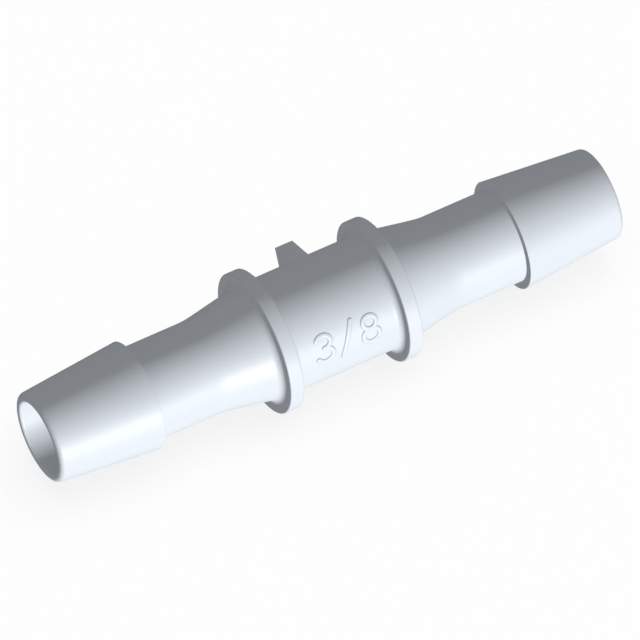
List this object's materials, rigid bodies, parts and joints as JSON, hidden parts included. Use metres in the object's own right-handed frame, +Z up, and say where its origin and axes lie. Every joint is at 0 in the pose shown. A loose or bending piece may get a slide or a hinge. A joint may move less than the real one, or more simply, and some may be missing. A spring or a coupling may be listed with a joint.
{
  "type": "barbed tube connector",
  "caption": "Straight moulded plastic connector that joins two soft tubes: a hose barb at each end, tube-stop collars and a key plate in the middle, open right through.",
  "frame": {"origin": "on the axis of the flow bore, half way between the two end faces", "axes": "+X along the flow bore, +Z up with the connector at rest on its collars and one corner of its key plate, so the key plate's corners are on the +Y side"},
  "size_m": [0.063, 0.0148, 0.0148],
  "materials": {
    "plastic": "smooth satin natural polypropylene, off-white with a slight blue cast"
  },
  "bodies": {
    "root": {"connector": "plastic"}
  },
  "joints": []
}
